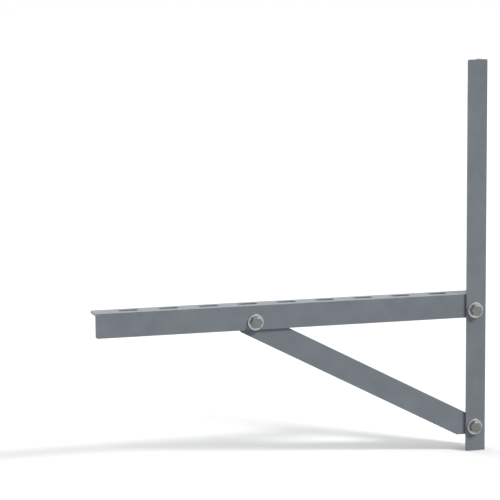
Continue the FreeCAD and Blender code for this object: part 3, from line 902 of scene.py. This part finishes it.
def threaded_shank(tree, inputs):
    """A core and a ridge that winds round it, pointing down from the head."""
    pitch, length, outer = inputs["Pitch"], inputs["Length"], inputs["Thread Radius"]
    core_radius = reckon(tree, "SUBTRACT", outer, reckon(tree, "MULTIPLY", pitch, DEPTH_SHARE))
    core = column(tree, SHANK_SIDES, core_radius, length)
    turns = reckon(tree, "SUBTRACT", reckon(tree, "DIVIDE", length, pitch), 1.0)
    ridge_size = reckon(tree, "MULTIPLY", pitch, 1 / math.sqrt(3))
    ridge_line = reckon(tree, "SUBTRACT", outer, ridge_size)
    spiral = step(tree, "GeometryNodeCurveSpiral", {
        "Resolution": 32, "Rotations": turns, "Start Radius": ridge_line,
        "End Radius": ridge_line, "Height": reckon(tree, "MULTIPLY", turns, pitch)})[0]
    triangle = step(tree, "GeometryNodeCurvePrimitiveCircle", {
        "Resolution": 3, "Radius": ridge_size}, mode="RADIUS")[0]
    ridge_section = step(tree, "GeometryNodeTransform", {
        "Geometry": triangle, "Rotation": (0, 0, math.pi)})[0]
    along = step(tree, "GeometryNodeSplineParameter")["Factor"]
    from_end = reckon(tree, "MINIMUM", along, reckon(tree, "SUBTRACT", 1.0, along))
    grown = step(tree, "ShaderNodeMapRange", {
        "Value": reckon(tree, "MULTIPLY", from_end, turns), "From Min": 0.0,
        "From Max": FADE_TURNS, "To Min": FADE_START, "To Max": 1.0})[0]
    ridge = sweep(tree, spiral, ridge_section, grown, caps=True)
    half_pitch = reckon(tree, "MULTIPLY", pitch, 0.5)
    ridge = step(tree, "GeometryNodeTransform", {
        "Geometry": ridge, "Translation": point(tree, 0.0, 0.0, half_pitch)})[0]
    return step(tree, "GeometryNodeTransform", {
        "Geometry": joined(tree, core, ridge), "Rotation": (math.pi, 0, 0)})[0]


hexagon_bolt, inputs = start_tree("hexagon bolt", {
    "Flats": 13.0, "Head Height": 5.3, "Face Height": 0.4, "Thread Radius": 3.96,
    "Length": 20.0, "Pitch": 1.25})
whole_bolt = joined(hexagon_bolt, bolt_head(hexagon_bolt, inputs),
                    threaded_shank(hexagon_bolt, inputs))
finish_tree(hexagon_bolt, hard_edges(hexagon_bolt, whole_bolt, crease=25), inputs)

# %% [markdown]
# ## Nuts
# A nut is a hexagon with both ends turned, and a bore with a small countersink at each end.
# The bore is a touch wider than the thread, so that the two never share a face.

# %% Tree for a nut
SINK_DEPTH = 0.7
SINK_OVERLAP = 0.1

tree, inputs = start_tree("hexagon nut", {"Flats": 13.0, "Height": 6.5, "Bore Radius": 4.05})
blank = hexagon(tree, inputs["Flats"], inputs["Height"])
blank = turn_end(tree, blank, inputs["Flats"], inputs["Height"])
blank = turn_end(tree, blank, inputs["Flats"], inputs["Height"], upward=False)
long_bore = column(tree, SHANK_SIDES, inputs["Bore Radius"],
                   reckon(tree, "ADD", inputs["Height"], OVERSHOOT), -OVERSHOOT / 2)
sink = step(tree, "GeometryNodeMeshCone", {
    "Vertices": SHANK_SIDES,
    "Radius Top": reckon(tree, "ADD", inputs["Bore Radius"], SINK_DEPTH),
    "Radius Bottom": reckon(tree, "SUBTRACT", inputs["Bore Radius"], SINK_OVERLAP),
    "Depth": SINK_DEPTH + SINK_OVERLAP})["Mesh"]
sink_top = step(tree, "GeometryNodeTransform", {
    "Geometry": sink, "Translation": point(
        tree, 0.0, 0.0, reckon(tree, "SUBTRACT", inputs["Height"], SINK_DEPTH))})[0]
sink_bottom = step(tree, "GeometryNodeTransform", {
    "Geometry": sink, "Rotation": (math.pi, 0, 0), "Translation": (0, 0, SINK_DEPTH)})[0]
bored = cut(tree, blank, [long_bore, sink_top, sink_bottom])
finish_tree(tree, hard_edges(tree, bored, crease=25), inputs)
hexagon_nut = tree

# %% [markdown]
# ## Flat washers
# A flat washer is punched from strip, and tumbling softens its edges. Its section, a flat
# rounded box, is carried round a circle.

# %% Tree for a flat washer
tree, inputs = start_tree("flat washer", {
    "Outer Radius": 10.0, "Bore Radius": 4.25, "Thickness": 2.0, "Rounding": 0.4})
middle = reckon(tree, "MULTIPLY",
                reckon(tree, "ADD", inputs["Outer Radius"], inputs["Bore Radius"]), 0.5)
width = reckon(tree, "SUBTRACT", inputs["Outer Radius"], inputs["Bore Radius"])
path = step(tree, "GeometryNodeCurvePrimitiveCircle", {
    "Resolution": 96, "Radius": middle}, mode="RADIUS")[0]
section = ring_section(tree, width, inputs["Thickness"], inputs["Rounding"])
ring = sweep(tree, path, section)
raised = point(tree, 0.0, 0.0, reckon(tree, "MULTIPLY", inputs["Thickness"], 0.5))
ring = step(tree, "GeometryNodeTransform", {"Geometry": ring, "Translation": raised})[0]
finish_tree(tree, ring, inputs)
flat_washer = tree

# %% [markdown]
# ## Spring washers
# A spring washer is one turn of square wire that doesn't quite close. One end stands a little
# higher, so its path is a short spiral. The ends are cut on a slant, and so the whole turn is
# swung a little further round the higher it lies.

# %% Tree for a spring washer
tree, inputs = start_tree("spring washer", {
    "Bore Radius": 4.1, "Wire": 2.1, "Gap": 1.2, "Lean": 1.0, "Rise": 0.2, "Rounding": 0.35})
middle = reckon(tree, "ADD", inputs["Bore Radius"],
                reckon(tree, "MULTIPLY", inputs["Wire"], 0.5))
around = reckon(tree, "MULTIPLY", middle, 2 * math.pi)
part_turn = reckon(tree, "SUBTRACT", 1.0, reckon(tree, "DIVIDE", inputs["Gap"], around))
path = step(tree, "GeometryNodeCurveSpiral", {
    "Resolution": 72, "Rotations": part_turn, "Start Radius": middle, "End Radius": middle,
    "Height": inputs["Rise"]})[0]
wire_height = reckon(tree, "SUBTRACT", inputs["Wire"], inputs["Rise"])
section = ring_section(tree, inputs["Wire"], wire_height, inputs["Rounding"])
ring = sweep(tree, path, section, caps=True)
raised = point(tree, 0.0, 0.0, reckon(tree, "MULTIPLY", wire_height, 0.5))
ring = step(tree, "GeometryNodeTransform", {"Geometry": ring, "Translation": raised})[0]
here = step(tree, "GeometryNodeInputPosition")[0]
height = step(tree, "ShaderNodeSeparateXYZ", {"Vector": here})["Z"]
twist = reckon(tree, "DIVIDE", inputs["Lean"], reckon(tree, "MULTIPLY", inputs["Wire"], middle))
swung = step(tree, "ShaderNodeVectorRotate", {
    "Vector": here, "Angle": reckon(tree, "MULTIPLY", height, twist)},
    rotation_type="Z_AXIS")[0]
leaning = step(tree, "GeometryNodeSetPosition", {"Geometry": ring, "Position": swung})[0]
finish_tree(tree, soft_edges(tree, leaning, crease=50), inputs)
spring_washer = tree

# %% [markdown]
# ## Fit the fasteners
# Each joint has a bolt and a flat washer outside, and a spring washer and a nut inside. They
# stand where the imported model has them, so their places are read from its boxes. A hand never
# stops every head at the same angle, so each has a turn of its own.

# %% Fit the three joints
FASTENER_ROUNDING = 0.12


def facing(outward, turn, place):
    """Stand a fastener on a web, with its axis pointing out of the bracket or back behind it."""
    across = directions((0, 1, 0), (0, 0, 1), (1, 0, 0))
    if not outward:
        across = directions((0, -1, 0), (0, 0, 1), (-1, 0, 0))
    swing = Matrix.Rotation(math.radians(turn), 4, "Z")
    return Matrix.Scale(MM, 4) @ Matrix.Translation(place) @ across.to_4x4() @ swing


def fit_joint(joint, head_turn, nut_turn, slit_turn):
    """A bolt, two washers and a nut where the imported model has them."""
    centre = bolt_centre(joint)
    sides = {part: [corner[0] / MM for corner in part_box(f"{joint}_{part}")]
             for part in ("washer", "spring_washer", "nut")}
    plans = (
        ("washer", flat_washer, bright_zinc, True, sides["washer"][0], 0),
        ("bolt", hexagon_bolt, shaded_dull_zinc, True, sides["washer"][1], head_turn),
        ("spring_washer", spring_washer, bright_zinc, False, sides["spring_washer"][1], slit_turn),
        ("nut", hexagon_nut, shaded_dull_zinc, False, sides["nut"][1], nut_turn))
    for part, tree, finish, outward, across, turn in plans:
        empty = bpy.data.meshes.new("no outline")
        mesh = run_tree(tree, empty, {}, finish, FASTENER_ROUNDING)
        place = facing(outward, turn, Vector((across, centre.y, centre.z)))
        put(f"zinc_{joint}_{part}", mesh, place, f"{joint}_{part}")


brace_turn = math.degrees(slope)
fit_joint("arm_to_post", head_turn=20, nut_turn=0, slit_turn=80)
fit_joint("arm_to_brace", head_turn=-25, nut_turn=brace_turn, slit_turn=150)
fit_joint("brace_to_post", head_turn=8, nut_turn=brace_turn, slit_turn=-60)

# %% [markdown]
# ## The floor
# The bracket stands on a plain white floor that keeps its soft shadow. A real white floor
# this large would throw so much light up that every face looked alike. So the floor is white
# where the camera or a mirror sees it, and a middle grey to the light that bounces off it.

# %% Lay the floor
FLOOR_SEEN = (0.99, 0.99, 0.99, 1)
FLOOR_BOUNCE = (0.28, 0.28, 0.28, 1)
FLOOR_REACH = 40

floor_finish = bpy.data.materials.new("white floor")
floor_finish.use_nodes = True
tree = floor_finish.node_tree
surface = tree.nodes["Principled BSDF"]
surface.inputs["Roughness"].default_value = 1
surface.inputs["Specular IOR Level"].default_value = 0
mixed = step(tree, "ShaderNodeMixRGB", {
    "Fac": seen_or_mirrored(tree), "Color1": FLOOR_BOUNCE, "Color2": FLOOR_SEEN})["Color"]
tree.links.new(mixed, surface.inputs["Base Color"])
corners = [(x * FLOOR_REACH, y * FLOOR_REACH, cad_box[0][2])
           for x, y in ((-1, -1), (1, -1), (1, 1), (-1, 1))]
floor_mesh = bpy.data.meshes.new("floor")
floor_mesh.from_pydata(corners, [], [(0, 1, 2, 3)])
floor_mesh.materials.append(floor_finish)
floor = bpy.data.objects.new("floor", floor_mesh)
bpy.context.scene.collection.objects.link(floor)
floor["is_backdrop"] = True
print("floor at a height of", round(cad_box[0][2] / MM, 1), "mm")

# %% [markdown]
# ## The sizes
# The dressed bracket should fill the same box as the imported one, so both are written down.

# %% Print both boxes
boxes = {"packed": [list(corner) for corner in cad_box],
         "dressed": [list(corner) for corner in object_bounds()]}
for name, box in boxes.items():
    print(name, [[round(value / MM, 2) for value in corner] for corner in box])
